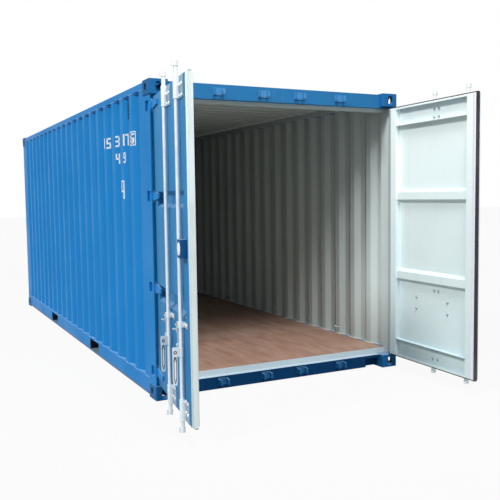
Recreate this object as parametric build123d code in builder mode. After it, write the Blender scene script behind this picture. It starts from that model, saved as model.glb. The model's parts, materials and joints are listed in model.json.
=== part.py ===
# Dry freight container, twenty foot size, with both end doors standing open.
# X runs along the length with the door end at +X, Y across the width, Z up.
# The origin is on the ground at the middle of the four bottom corner castings.
import os
from math import cos, radians, sin

from build123d import *

os.makedirs("parts", exist_ok=True)

# Outside size
length = 6058.0
width = 2438.0
height = 2591.0

# Corner castings
casting_length = 178.0
casting_width = 162.0
casting_height = 118.0
casting_wall = 18.0
casting_plate = 28.0
casting_corner_radius = 10.0
slot_length = 124.0
slot_width = 63.5
slot_from_end = 102.5
slot_from_side = 89.5
side_hole_height = 66.0
side_hole_width = 51.0
end_hole_height = 79.5
end_hole_width = 58.0
end_hole_from_side = 78.0

# Frame lines shared by posts, rails and walls
side_inset = 8.0
end_inset = 8.0
top_inset = 6.0
underside = 12.5
door_post_width = 41.0
cut_overrun = 60.0

# Sheet and rail thicknesses
wall_sheet = 2.0
roof_sheet = 2.0
rail_wall = 4.5

# Side wall corrugation
side_pitch = 278.0
side_outer_flat = 72.0
side_slope = 68.0
side_depth = 36.0

# Front wall corrugation
front_pitch = 250.0
front_outer_flat = 110.0
front_slope = 18.0
front_depth = 45.6

# Roof pressings
roof_pitch = 209.0
roof_trough_width = 118.0
roof_trough_floor = 91.0
roof_depth = 20.0
roof_margin_side = 60.0
roof_margin_end = 70.0

# Rails
top_rail_size = 60.0
top_rail_radius = 8.0
bottom_rail_top = 158.0
bottom_rail_top_flange = 48.0
bottom_rail_low_flange = 30.0
front_rail_depth = 60.0

# Floor and underframe
floor_top = 167.0
floor_thickness = 28.0
floor_edge_gap = 0.5
cross_member_flange = 45.0
cross_member_wall = 4.0
middle_bays = 6
outer_bay = 300.0

# Fork pockets
pocket_centres = 2050.0
pocket_width = 360.0
pocket_height = 110.0
pocket_low = 30.0
pocket_top_plate = 6.0
pocket_strap_thickness = 8.0
pocket_strap_length = 150.0

# Door end post
post_depth = 123.0
post_outer_wall = 8.0
post_inner_wall = 10.0
post_lip_reach = 38.0
hinge_notch_height = 84.0
hinge_notch_depth = 74.0
hinge_notch_inward = 19.0
hinge_pocket_wall = 6.0

# Front post
front_post_leg = 60.0
front_post_wall = 6.0

# Door header and sill
header_depth = 118.0
header_step_from_top = 130.0
header_bottom_from_top = 160.0
beam_wall = 6.0
beam_face_from_end = 54.0
seal_face_from_end = 109.0
sill_step_top = 120.0
threshold_thickness = 15.0
recess_width = 160.0
recess_height = 78.0
recess_depth = 50.0

# Hinge pins
pin_from_end = 36.0
pin_from_side = 21.0
pin_radius = 10.0
pin_clearance = 0.4
knuckle_radius = 16.0
blade_height = 64.0
blade_thickness = 14.0
blade_length = 235.0
blade_end_height = 36.0
blade_taper_start = 90.0
lug_thickness = 14.0
lug_gap = 1.5
hinge_from_leaf_bottom = 99.0
hinge_from_leaf_top = 62.0
hinge_level_shares = (0.0, 0.321, 0.665, 1.0)

# Door leaves
left_open_angle = 99.0
right_open_angle = 87.8
leaf_thickness = 50.0
leaf_face_behind_pin = 16.0
leaf_side_gap = 12.0
leaf_centre_gap = 12.0
leaf_bottom_gap = 16.0
leaf_top_gap = 14.0
stile_width = 100.0
top_member_height = 165.0
bottom_member_height = 160.0
member_lip = 16.0
leaf_tube_wall = 3.2
panel_sheet = 2.0
groove_level_shares = (0.333, 0.65)
groove_mouth = 118.0
groove_floor = 66.0
groove_depth = 36.0

# Door seal
seal_reach = 7.0
seal_width = 32.0
seal_from_inner_face = 4.0

# Locking rods
rod_from_centre_outer = 600.0
rod_from_centre_inner = 180.0
rod_radius = 14.5
rod_from_face = 25.0
rod_clearance = 0.5
rod_past_cam_low = 12.0
rod_past_cam_high = 21.0
cam_radius = 27.0
cam_half_width = 7.0
cam_collar_radius = 18.0
cam_height = 30.0

# Keepers
keeper_from_top = 66.0
keeper_above_underside = 61.5
keeper_width = 92.0
keeper_height = 60.0
keeper_plate = 6.0
keeper_jaw_gap = 68.0
keeper_jaw_thickness = 9.0
keeper_jaw_reach = 54.0
keeper_jaw_height = 46.0
keeper_lip_gap = 48.0
keeper_lip_thickness = 7.0

# Rod brackets
bearing_height = 145.0
bearing_plate = 6.0
bearing_radius = 20.0
bearing_plate_inner = 30.0
bearing_plate_outer = 118.0
bearing_end_margin = 4.0
guide_height = 40.0
guide_level = 800.0

# Handles
handle_level = 612.0
hub_height = 62.0
hub_reach = 60.0
hub_cheek = 6.0
hub_gap = 15.0
handle_pin_from_rod = 45.0
handle_pin_radius = 6.0
handle_thickness = 12.0
handle_width = 32.0
handle_length = 228.0
handle_tip_length = 40.0
handle_tip_width = 24.0
handle_pin_clearance = 0.4

# Handle retainers
retainer_from_rod = 200.0
retainer_width = 52.0
retainer_height = 159.0
retainer_plate = 6.0
retainer_shelf_gap = 5.0
retainer_shelf_reach = 44.0

# Lock box on the left leaf
lock_box_from_free_edge = 38.0
lock_box_width = 92.0
lock_box_height = 122.0
lock_box_depth = 46.0
lock_box_level = 1315.0
lock_box_wall = 4.0

# Lashing rings and ventilators
ring_bar_radius = 5.0
ring_width = 60.0
ring_reach = 30.0
ring_first_recess = 2
ring_recess_step = 5
ring_above_rail = 82.0
vent_width = 58.0
vent_height = 170.0
vent_plate = 4.0
vent_louvre_reach = 10.0
vent_louvre_height = 20.0
vent_louvre_pitch = 30.0
vent_louvres = 5
vent_margin = 7.0
vent_below_rail = 100.0
vent_recess_from_door = 2

# Lines worked out from the sizes above
half_length = length / 2
half_width = width / 2
side_face = half_width - side_inset
inner_side_face = side_face - side_depth
casting_inner_x = half_length - casting_length
casting_inner_y = half_width - casting_width
roof_top = height - top_inset
top_rail_bottom = roof_top - top_rail_size
beam_face = half_length - beam_face_from_end
seal_face = half_length - seal_face_from_end
header_back = beam_face - header_depth
floor_underside = floor_top - floor_thickness
slot_x = half_length - slot_from_end
slot_y = half_width - slot_from_side
post_inner_y = side_face - door_post_width
post_rear_face = casting_inner_x + post_depth
pin_x = half_length - pin_from_end
pin_y = half_width - pin_from_side
front_face = -half_length + end_inset
front_inner_face = front_face + front_rail_depth
leaf_start = pin_y - post_inner_y + leaf_side_gap
leaf_end = pin_y - leaf_centre_gap
header_step_bottom = height - header_step_from_top
header_bottom = height - header_bottom_from_top
leaf_bottom = sill_step_top + leaf_bottom_gap
leaf_top = header_step_bottom - leaf_top_gap
low_hinge = leaf_bottom + hinge_from_leaf_bottom
high_hinge = leaf_top - hinge_from_leaf_top
hinge_levels = [low_hinge + share * (high_hinge - low_hinge) for share in hinge_level_shares]
groove_levels = [leaf_bottom + share * (leaf_top - leaf_bottom) for share in groove_level_shares]
keeper_level_header = height - keeper_from_top
keeper_level_sill = underside + keeper_above_underside
leaf_outer = -leaf_face_behind_pin
leaf_inner = leaf_outer - leaf_thickness
rod_line = leaf_outer + rod_from_face
rod_places = {
    "outer": pin_y - rod_from_centre_outer,
    "inner": pin_y - rod_from_centre_inner,
}
door_sides = {"left": -1, "right": 1}
open_angles = {"left": left_open_angle, "right": right_open_angle}


def save(part, name):
    part.label = name
    export_step(part, f"parts/{name}.step")


def rectangle_between(low_x, high_x, low_y, high_y, mode=Mode.ADD):
    with Locations(((low_x + high_x) / 2, (low_y + high_y) / 2)):
        Rectangle(abs(high_x - low_x), abs(high_y - low_y), mode=mode)


def closed_outline(points):
    Polygon(*points, align=None)


def recess_centres(span, pitch):
    count = int(span / pitch)
    return [(index - (count - 1) / 2) * pitch for index in range(count)]


def corrugated_line(span, pitch, outer_flat, slope, depth):
    # Points of one pressed sheet across its span, from one plain end to the other.
    half_floor = (pitch - outer_flat - 2 * slope) / 2
    points = [(-span / 2, 0.0)]
    for centre in recess_centres(span, pitch):
        points.append((centre - half_floor - slope, 0.0))
        points.append((centre - half_floor, -depth))
        points.append((centre + half_floor, -depth))
        points.append((centre + half_floor + slope, 0.0))
    points.append((span / 2, 0.0))
    return points


def sheet_outline(points, thickness):
    # Closed outline of a folded sheet, its back edge mitred at each fold.
    back = []
    for index, (x, y) in enumerate(points):
        before = points[max(index - 1, 0)]
        after = points[min(index + 1, len(points) - 1)]
        direction_in = (Vector(x, y) - Vector(*before)) if index > 0 else (Vector(*after) - Vector(x, y))
        direction_out = (Vector(*after) - Vector(x, y)) if index < len(points) - 1 else direction_in
        tangent = (direction_in.normalized() + direction_out.normalized()).normalized()
        normal = Vector(tangent.Y, -tangent.X)
        half_turn = direction_in.get_angle(direction_out) / 2
        corner = Vector(x, y) + normal * (thickness / cos(radians(half_turn)))
        back.append((corner.X, corner.Y))
    closed_outline(list(points) + back[::-1])


# Corner castings
def corner_castings(name, bottom):
    top = bottom + casting_height
    with BuildPart() as castings:
        for end, side in ((-1, -1), (-1, 1), (1, -1), (1, 1)):
            centre_x = end * (half_length - casting_length / 2)
            centre_y = side * (half_width - casting_width / 2)
            with BuildSketch(Plane.XY.offset(bottom)):
                with Locations((centre_x, centre_y)):
                    RectangleRounded(casting_length, casting_width, casting_corner_radius)
            extrude(amount=casting_height)
            with BuildSketch(Plane.XY.offset(bottom + casting_plate)):
                with Locations((centre_x, centre_y)):
                    Rectangle(casting_length - 2 * casting_wall, casting_width - 2 * casting_wall)
            extrude(amount=casting_height - 2 * casting_plate, mode=Mode.SUBTRACT)
            slot_plate_low = bottom if bottom == 0 else top - casting_plate
            with BuildSketch(Plane.XY.offset(slot_plate_low)):
                with Locations((end * slot_x, side * slot_y)):
                    SlotOverall(slot_length, slot_width)
            extrude(amount=casting_plate, mode=Mode.SUBTRACT)
            side_plane = Plane.XZ.offset(-side * (half_width - casting_wall))
            with BuildSketch(side_plane):
                with Locations((end * slot_x, bottom + casting_height / 2)):
                    SlotOverall(side_hole_height, side_hole_width, rotation=90)
            extrude(amount=-side * casting_wall, mode=Mode.SUBTRACT)
            end_plane = Plane.YZ.offset(end * (half_length - casting_wall))
            with BuildSketch(end_plane):
                with Locations((side * (half_width - end_hole_from_side), bottom + casting_height / 2)):
                    SlotOverall(end_hole_height, end_hole_width, rotation=90)
            extrude(amount=end * casting_wall, mode=Mode.SUBTRACT)
    save(castings.part, name)


corner_castings("bottom_corner_castings", 0.0)
corner_castings("top_corner_castings", height - casting_height)


# Door end posts, a closed section with a rear lip and a pocket at each hinge
def door_post(name, side):
    outer = side * side_face
    inner = side * post_inner_y
    lip_inner = side * (side_face - post_outer_wall)
    lip_end = post_rear_face + post_lip_reach
    with BuildPart() as post:
        with BuildSketch(Plane.XY.offset(casting_height)):
            closed_outline([
                (casting_inner_x, inner), (post_rear_face, inner), (post_rear_face, lip_inner),
                (lip_end, lip_inner), (lip_end, outer), (casting_inner_x, outer)])
            rectangle_between(
                casting_inner_x + post_inner_wall, post_rear_face - post_outer_wall,
                inner + side * post_inner_wall, lip_inner, mode=Mode.SUBTRACT)
        extrude(amount=height - 2 * casting_height)
        for level in hinge_levels:
            notch_low_y = side * (side_face - hinge_notch_inward)
            with BuildSketch(Plane.XY.offset(level - hinge_notch_height / 2 - hinge_pocket_wall)):
                rectangle_between(
                    post_rear_face - hinge_notch_depth - hinge_pocket_wall,
                    post_rear_face - post_outer_wall,
                    notch_low_y - side * hinge_pocket_wall, lip_inner)
            extrude(amount=hinge_notch_height + 2 * hinge_pocket_wall)
            with BuildSketch(Plane.XY.offset(level - hinge_notch_height / 2)):
                rectangle_between(
                    post_rear_face - hinge_notch_depth, lip_end + cut_overrun,
                    notch_low_y, side * (side_face + cut_overrun))
            extrude(amount=hinge_notch_height, mode=Mode.SUBTRACT)
            for lug_low in (
                    level - blade_height / 2 - lug_gap - lug_thickness,
                    level + blade_height / 2 + lug_gap):
                with BuildSketch(Plane.XY.offset(lug_low)):
                    with Locations((pin_x, side * pin_y)):
                        Circle(knuckle_radius)
                    rectangle_between(
                        post_rear_face - post_outer_wall, pin_x,
                        side * (pin_y - knuckle_radius), side * pin_y)
                    rectangle_between(
                        post_rear_face - post_outer_wall, pin_x,
                        side * pin_y, side * side_face)
                extrude(amount=lug_thickness)
            with BuildSketch(Plane.XY.offset(level - blade_height / 2 - lug_gap)):
                with Locations((pin_x, side * pin_y)):
                    Circle(pin_radius)
            extrude(amount=blade_height + 2 * lug_gap)
    save(post.part, name)


door_post("left_door_post", -1)
door_post("right_door_post", 1)


# Front posts, an L-shaped tube round the corner
def front_post(name, side):
    outer = side * side_face
    inner = side * inner_side_face
    leg_y = side * casting_inner_y
    points = [
        (front_face, outer), (-casting_inner_x, outer), (-casting_inner_x, inner),
        (front_face + front_post_leg, inner), (front_face + front_post_leg, leg_y), (front_face, leg_y)]
    with BuildPart() as post:
        with BuildSketch(Plane.XY.offset(casting_height)):
            closed_outline(points)
            offset(amount=-front_post_wall, mode=Mode.SUBTRACT, kind=Kind.INTERSECTION)
        extrude(amount=height - 2 * casting_height)
    save(post.part, name)


front_post("left_front_post", -1)
front_post("right_front_post", 1)

# Door header, a stepped box beam
with BuildPart() as door_header:
    with BuildSketch(Plane.XZ):
        closed_outline([
            (header_back, header_bottom), (seal_face, header_bottom), (seal_face, header_step_bottom),
            (beam_face, header_step_bottom), (beam_face, roof_top), (header_back, roof_top)])
        offset(amount=-beam_wall, mode=Mode.SUBTRACT, kind=Kind.INTERSECTION)
    extrude(amount=casting_inner_y, both=True)
    for side in (-1, 1):
        with BuildSketch(Plane.XZ.offset(-side * casting_inner_y)):
            closed_outline([
                (header_back, header_bottom), (seal_face, header_bottom), (seal_face, header_step_bottom),
                (beam_face, header_step_bottom), (beam_face, height - casting_height),
                (header_back, height - casting_height)])
        extrude(amount=-side * (post_inner_y - casting_inner_y))
save(door_header.part, "door_header")

# Door sill with the threshold upstand and an open recess beside each casting
with BuildPart() as door_sill:
    with BuildSketch(Plane.XZ):
        closed_outline([
            (header_back, underside), (beam_face, underside), (beam_face, sill_step_top),
            (seal_face, sill_step_top), (seal_face, floor_top),
            (seal_face - threshold_thickness, floor_top), (seal_face - threshold_thickness, floor_underside),
            (header_back, floor_underside)])
        rectangle_between(
            header_back + beam_wall, beam_face - beam_wall, underside + beam_wall,
            sill_step_top - beam_wall, mode=Mode.SUBTRACT)
    extrude(amount=casting_inner_y, both=True)
    for side in (-1, 1):
        recess_inner_y = side * (casting_inner_y - recess_width)
        recess_back = beam_face - recess_depth
        with BuildSketch(Plane.XY.offset(underside)):
            rectangle_between(
                recess_back - beam_wall, beam_face, recess_inner_y - side * beam_wall,
                side * casting_inner_y)
        extrude(amount=recess_height + beam_wall)
        with BuildSketch(Plane.XY.offset(underside)):
            rectangle_between(recess_back, beam_face, recess_inner_y, side * casting_inner_y)
        extrude(amount=recess_height, mode=Mode.SUBTRACT)
        with BuildSketch(Plane.XZ.offset(-side * casting_inner_y)):
            rectangle_between(seal_face - threshold_thickness, seal_face, casting_height, floor_top)
        extrude(amount=-side * (post_inner_y - casting_inner_y))
save(door_sill.part, "door_sill")


# Side rails, a square tube at the top and an inward channel at the bottom
with BuildPart() as top_side_rails:
    for side in (-1, 1):
        centre_y = side * (side_face - top_rail_size / 2)
        with BuildSketch(Plane.YZ.offset(-casting_inner_x)):
            with Locations((centre_y, roof_top - top_rail_size / 2)):
                RectangleRounded(top_rail_size, top_rail_size, top_rail_radius)
                Rectangle(top_rail_size - 2 * rail_wall, top_rail_size - 2 * rail_wall, mode=Mode.SUBTRACT)
        extrude(amount=2 * casting_inner_x)
save(top_side_rails.part, "top_side_rails")


def bottom_side_rail(name, side):
    outer = side * side_face
    web_inner = side * (side_face - rail_wall)
    top_edge = side * (side_face - bottom_rail_top_flange)
    low_edge = side * (side_face - bottom_rail_low_flange)
    with BuildPart() as rail:
        with BuildSketch(Plane.YZ.offset(-casting_inner_x)):
            closed_outline([
                (outer, underside), (outer, bottom_rail_top), (top_edge, bottom_rail_top),
                (top_edge, bottom_rail_top - rail_wall), (web_inner, bottom_rail_top - rail_wall),
                (web_inner, underside + rail_wall), (low_edge, underside + rail_wall),
                (low_edge, underside)])
        extrude(amount=2 * casting_inner_x)
        with BuildSketch(Plane.XZ.offset(-outer)):
            with Locations((-pocket_centres / 2, 0), (pocket_centres / 2, 0)):
                with Locations((0, pocket_low + pocket_height / 2)):
                    Rectangle(pocket_width, pocket_height)
        extrude(amount=cut_overrun, both=True, mode=Mode.SUBTRACT)
    save(rail.part, name)


for side_name, side in door_sides.items():
    bottom_side_rail(f"{side_name}_bottom_side_rail", side)

# Front end rails between the castings
with BuildPart() as front_top_rail:
    with BuildSketch(Plane.XZ):
        with Locations((front_face + front_rail_depth / 2, roof_top - top_rail_size / 2)):
            RectangleRounded(front_rail_depth, top_rail_size, top_rail_radius)
            Rectangle(
                front_rail_depth - 2 * rail_wall, top_rail_size - 2 * rail_wall, mode=Mode.SUBTRACT)
    extrude(amount=casting_inner_y, both=True)
save(front_top_rail.part, "front_top_rail")

with BuildPart() as front_bottom_rail:
    with BuildSketch(Plane.XZ):
        closed_outline([
            (front_face, underside), (front_inner_face, underside), (front_inner_face, floor_underside),
            (front_face + front_depth + wall_sheet, floor_underside),
            (front_face + front_depth + wall_sheet, bottom_rail_top), (front_face, bottom_rail_top)])
        offset(amount=-rail_wall, mode=Mode.SUBTRACT, kind=Kind.INTERSECTION)
    extrude(amount=casting_inner_y, both=True)
save(front_bottom_rail.part, "front_bottom_rail")


# Corrugated walls, each one folded sheet standing on its bottom rail
def side_wall(name, side):
    line = corrugated_line(
        2 * casting_inner_x, side_pitch, side_outer_flat, side_slope, side_depth - wall_sheet)
    points = [(x, side * (side_face + y)) for x, y in line]
    if side < 0:
        points = points[::-1]
    with BuildPart() as wall:
        with BuildSketch(Plane.XY.offset(bottom_rail_top)):
            sheet_outline(points, wall_sheet)
        extrude(amount=top_rail_bottom - bottom_rail_top)
    save(wall.part, name)


side_wall("left_side_wall", -1)
side_wall("right_side_wall", 1)

with BuildPart() as front_wall:
    line = corrugated_line(2 * casting_inner_y, front_pitch, front_outer_flat, front_slope, front_depth)
    with BuildSketch(Plane.XY.offset(bottom_rail_top)):
        sheet_outline([(front_face - y, x) for x, y in line], wall_sheet)
    extrude(amount=top_rail_bottom - bottom_rail_top)
save(front_wall.part, "front_wall")

# Roof, a flat sheet with a row of pressed cross troughs that stop short of the rails
with BuildPart() as roof:
    roof_front = front_inner_face
    roof_length = header_back - roof_front
    roof_centre = (header_back + roof_front) / 2
    roof_width = 2 * (side_face - top_rail_size)
    trough_count = int((roof_length - 2 * roof_margin_end - roof_trough_width) / roof_pitch) + 1
    trough_length = roof_width - 2 * roof_margin_side
    trough_taper = (roof_trough_width - roof_trough_floor) / 2
    with BuildSketch(Plane.XY.offset(roof_top - roof_sheet)):
        with Locations((roof_centre, 0)):
            Rectangle(roof_length, roof_width)
    extrude(amount=roof_sheet)
    for shrink, drop, mode in (
            (0.0, roof_sheet, Mode.ADD),
            (roof_sheet, 0.0, Mode.SUBTRACT)):
        for index in range(trough_count):
            trough_x = roof_centre + (index - (trough_count - 1) / 2) * roof_pitch
            with BuildSketch(Plane.XY.offset(roof_top)):
                with Locations((trough_x, 0)):
                    Rectangle(roof_trough_width - 2 * shrink, trough_length - 2 * shrink)
            with BuildSketch(Plane.XY.offset(roof_top - roof_depth + roof_sheet - drop)):
                with Locations((trough_x, 0)):
                    Rectangle(
                        roof_trough_floor - 2 * shrink, trough_length - 2 * trough_taper - 2 * shrink)
            loft(mode=mode)
    for end in (-1, 1):
        for side in (-1, 1):
            with BuildSketch(Plane.XY.offset(roof_top - roof_sheet)):
                rectangle_between(
                    end * casting_inner_x, end * half_length, side * casting_inner_y, side * half_width)
            extrude(amount=roof_sheet, mode=Mode.SUBTRACT)
save(roof.part, "roof")

# Plywood floor
with BuildPart() as floor:
    with BuildSketch(Plane.XY.offset(floor_underside)):
        rectangle_between(
            front_face + front_depth + wall_sheet, seal_face - threshold_thickness,
            -(side_face - bottom_rail_top_flange - floor_edge_gap),
            side_face - bottom_rail_top_flange - floor_edge_gap)
        for side in (-1, 1):
            rectangle_between(
                -half_length, front_inner_face + floor_edge_gap,
                side * (casting_inner_y - floor_edge_gap), side * side_face, mode=Mode.SUBTRACT)
    extrude(amount=floor_thickness)
save(floor.part, "floor")


# Cross members, channels that span between the webs of the bottom side rails
def cross_member_places():
    half_pocket = pocket_width / 2
    inner_edge = pocket_centres / 2 - half_pocket
    outer_edge = pocket_centres / 2 + half_pocket
    bay = 2 * inner_edge / middle_bays
    places = [(0.0, 1)]
    for index in range(1, middle_bays // 2 + 1):
        places += [(index * bay, -1), (-index * bay, 1)]
    for index in range(int((casting_inner_x - outer_edge) / outer_bay) + 1):
        places += [(outer_edge + index * outer_bay, 1), (-outer_edge - index * outer_bay, -1)]
    return places


with BuildPart() as cross_members:
    member_low = underside + rail_wall
    for place, facing in cross_member_places():
        web_far = place + facing * cross_member_wall
        tip = place + facing * cross_member_flange
        with BuildSketch(Plane.XZ):
            closed_outline([
                (place, member_low), (tip, member_low), (tip, member_low + cross_member_wall),
                (web_far, member_low + cross_member_wall), (web_far, floor_underside - cross_member_wall),
                (tip, floor_underside - cross_member_wall), (tip, floor_underside),
                (place, floor_underside)])
        extrude(amount=side_face - rail_wall, both=True)
save(cross_members.part, "cross_members")

# Fork pockets, a top plate between two channels and a strap under each end
with BuildPart() as fork_pockets:
    pocket_half_span = side_face - rail_wall
    for end in (-1, 1):
        pocket_x = end * pocket_centres / 2
        with BuildSketch(Plane.XY.offset(floor_underside - pocket_top_plate)):
            with Locations((pocket_x, 0)):
                Rectangle(pocket_width, 2 * pocket_half_span)
        extrude(amount=pocket_top_plate)
        with BuildSketch(Plane.XY.offset(underside + rail_wall)):
            for side in (-1, 1):
                with Locations((pocket_x, side * (pocket_half_span - pocket_strap_length / 2))):
                    Rectangle(pocket_width, pocket_strap_length)
        extrude(amount=pocket_strap_thickness)
save(fork_pockets.part, "fork_pockets")


# Keepers, a base plate with two hooked jaws on the header and on the sill
def keepers(name, level):
    with BuildPart() as group:
        for place in (
                -rod_from_centre_outer, -rod_from_centre_inner,
                rod_from_centre_inner, rod_from_centre_outer):
            with BuildSketch(Plane.XY.offset(level - keeper_height / 2)):
                rectangle_between(
                    beam_face, beam_face + keeper_plate, place - keeper_width / 2, place + keeper_width / 2)
            extrude(amount=keeper_height)
            with BuildSketch(Plane.XY.offset(level - keeper_jaw_height / 2)):
                for hand in (-1, 1):
                    jaw_inner = place + hand * keeper_jaw_gap / 2
                    rectangle_between(
                        beam_face, beam_face + keeper_jaw_reach,
                        jaw_inner, jaw_inner + hand * keeper_jaw_thickness)
                    rectangle_between(
                        beam_face + keeper_jaw_reach - keeper_lip_thickness, beam_face + keeper_jaw_reach,
                        place + hand * keeper_lip_gap / 2, jaw_inner)
            extrude(amount=keeper_jaw_height)
    save(group.part, name)


keepers("header_keepers", keeper_level_header)
keepers("sill_keepers", keeper_level_sill)

# Lashing rings, bent bars welded to the inner faces of the side walls near the floor
with BuildPart() as lashing_rings:
    ring_level = bottom_rail_top + ring_above_rail
    ring_places = recess_centres(2 * casting_inner_x, side_pitch)[ring_first_recess::ring_recess_step]
    for side in (-1, 1):
        for ring_x in ring_places:
            wall_y = side * inner_side_face
            tip_y = side * (inner_side_face - ring_reach)
            with BuildLine() as path:
                FilletPolyline(
                    (ring_x - ring_width / 2, wall_y, ring_level),
                    (ring_x - ring_width / 2, tip_y, ring_level),
                    (ring_x + ring_width / 2, tip_y, ring_level),
                    (ring_x + ring_width / 2, wall_y, ring_level),
                    radius=ring_reach / 2)
            with BuildSketch(Plane(origin=path.line @ 0, z_dir=path.line % 0)):
                Circle(ring_bar_radius)
            sweep()
save(lashing_rings.part, "lashing_rings")

# Ventilators, a plate with pressed louvres in a recess of each side wall near the door
with BuildPart() as ventilators:
    vent_x = recess_centres(2 * casting_inner_x, side_pitch)[-vent_recess_from_door]
    vent_level = top_rail_bottom - vent_below_rail
    for side in (-1, 1):
        recess_face = side * (side_face - side_depth + wall_sheet)
        plate_face = recess_face + side * vent_plate
        with BuildSketch(Plane.XY.offset(vent_level - vent_height / 2)):
            rectangle_between(
                vent_x - vent_width / 2, vent_x + vent_width / 2, recess_face, plate_face)
        extrude(amount=vent_height)
        louvre_tip = plate_face + side * vent_louvre_reach
        with BuildSketch(Plane.YZ.offset(vent_x)):
            for index in range(vent_louvres):
                louvre_low = vent_level + (index - vent_louvres / 2) * vent_louvre_pitch
                closed_outline([
                    (plate_face, louvre_low), (louvre_tip, louvre_low),
                    (plate_face, louvre_low + vent_louvre_height)])
        extrude(amount=vent_width / 2 - vent_margin, both=True)
save(ventilators.part, "ventilators")


# Planes that turn with a door: x outward when closed, y away from or towards the middle, z up
def door_plane(name):
    side = door_sides[name]
    angle = radians(side * open_angles[name])
    return Plane(
        origin=(pin_x, side * pin_y, 0), x_dir=(cos(angle), sin(angle), 0), z_dir=(0, 0, 1))


def door_xy(name, along, outward):
    return (outward, -door_sides[name] * along)


def door_section(name):
    plane = door_plane(name)
    return Plane(origin=plane.origin, x_dir=plane.x_dir, z_dir=-plane.y_dir)


def door_face_plane(name):
    # x along the leaf from the pin, y up, on the pin's axis
    plane = door_plane(name)
    along = plane.y_dir * -door_sides[name]
    return Plane(origin=plane.origin, x_dir=along, z_dir=along.cross(plane.z_dir))


def leaf_rectangle(name, low_along, high_along, low_out, high_out, mode=Mode.ADD):
    side = door_sides[name]
    rectangle_between(low_out, high_out, -side * low_along, -side * high_along, mode=mode)


# Door leaf frame, two tube stiles and two lipped channels that are open towards the inside
def leaf_frame(name):
    plane = door_plane(name)
    inner_low = leaf_bottom + bottom_member_height
    inner_high = leaf_top - top_member_height
    with BuildPart() as frame:
        with BuildSketch(plane.offset(leaf_bottom)):
            leaf_rectangle(name, leaf_start, leaf_end, leaf_inner, leaf_outer)
        extrude(amount=leaf_top - leaf_bottom)
        with BuildSketch(plane.offset(inner_low)):
            leaf_rectangle(name, leaf_start + stile_width, leaf_end - stile_width, leaf_inner, leaf_outer)
        extrude(amount=inner_high - inner_low, mode=Mode.SUBTRACT)
        for low, high in ((leaf_start, leaf_start + stile_width), (leaf_end - stile_width, leaf_end)):
            with BuildSketch(plane.offset(leaf_bottom + leaf_tube_wall)):
                leaf_rectangle(
                    name, low + leaf_tube_wall, high - leaf_tube_wall,
                    leaf_inner + leaf_tube_wall, leaf_outer - leaf_tube_wall)
            extrude(amount=leaf_top - leaf_bottom - 2 * leaf_tube_wall, mode=Mode.SUBTRACT)
        for low, high, mouth_low, mouth_high in (
                (leaf_bottom, inner_low, leaf_bottom + member_lip, inner_low - leaf_tube_wall),
                (inner_high, leaf_top, inner_high + leaf_tube_wall, leaf_top - member_lip)):
            with BuildSketch(plane.offset(low + leaf_tube_wall)):
                leaf_rectangle(
                    name, leaf_start + stile_width, leaf_end - stile_width,
                    leaf_inner + leaf_tube_wall, leaf_outer - leaf_tube_wall)
            extrude(amount=high - low - 2 * leaf_tube_wall, mode=Mode.SUBTRACT)
            with BuildSketch(plane.offset(mouth_low)):
                leaf_rectangle(
                    name, leaf_start + stile_width, leaf_end - stile_width,
                    leaf_inner, leaf_inner + leaf_tube_wall)
            extrude(amount=mouth_high - mouth_low, mode=Mode.SUBTRACT)
    save(frame.part, f"{name}_door_frame")


# Door panel, one sheet with two pressed grooves, level with the outer face of the leaf
def leaf_panel(name):
    low = leaf_bottom + bottom_member_height
    high = leaf_top - top_member_height
    groove_back = leaf_outer - groove_depth
    points = [(leaf_outer, low)]
    for level in groove_levels:
        points += [
            (leaf_outer, level - groove_mouth / 2), (groove_back, level - groove_floor / 2),
            (groove_back, level + groove_floor / 2), (leaf_outer, level + groove_mouth / 2)]
    points.append((leaf_outer, high))
    panel_middle = (leaf_start + leaf_end) / 2
    section = door_section(name)
    middle = section.offset(door_sides[name] * panel_middle)
    with BuildPart() as panel:
        with BuildSketch(middle):
            sheet_outline(points[::-1], panel_sheet)
        extrude(amount=(leaf_end - leaf_start) / 2 - stile_width, both=True)
    save(panel.part, f"{name}_door_panel")


# Door seal, a rubber frame round the edge of the leaf
def leaf_seal(name):
    plane = door_plane(name)
    low_out = leaf_inner + seal_from_inner_face
    with BuildPart() as seal:
        with BuildSketch(plane.offset(leaf_bottom - seal_reach)):
            leaf_rectangle(
                name, leaf_start - seal_reach, leaf_end + seal_reach, low_out, low_out + seal_width)
        extrude(amount=leaf_top - leaf_bottom + 2 * seal_reach)
        with BuildSketch(plane.offset(leaf_bottom)):
            leaf_rectangle(name, leaf_start, leaf_end, low_out, low_out + seal_width)
        extrude(amount=leaf_top - leaf_bottom, mode=Mode.SUBTRACT)
    save(seal.part, f"{name}_door_seal")


# Hinge blades, a strap on the outer face that ends in an eye round the pin
def hinge_blades(name):
    plane = door_plane(name)
    face_plane = door_face_plane(name)
    half_root = blade_height / 2
    half_end = blade_end_height / 2
    with BuildPart() as blades:
        for level in hinge_levels:
            with BuildSketch(plane.offset(level - blade_height / 2)):
                Circle(knuckle_radius)
                leaf_rectangle(name, 0.0, blade_length, leaf_outer, leaf_outer + blade_thickness)
                Circle(pin_radius + pin_clearance, mode=Mode.SUBTRACT)
            extrude(amount=blade_height)
            for up in (-1, 1):
                with BuildSketch(face_plane):
                    closed_outline([
                        (blade_taper_start, level + up * half_root), (blade_length, level + up * half_end),
                        (blade_length, level + up * half_root)])
                extrude(amount=cut_overrun, both=True, mode=Mode.SUBTRACT)
    save(blades.part, f"{name}_door_hinges")


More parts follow.
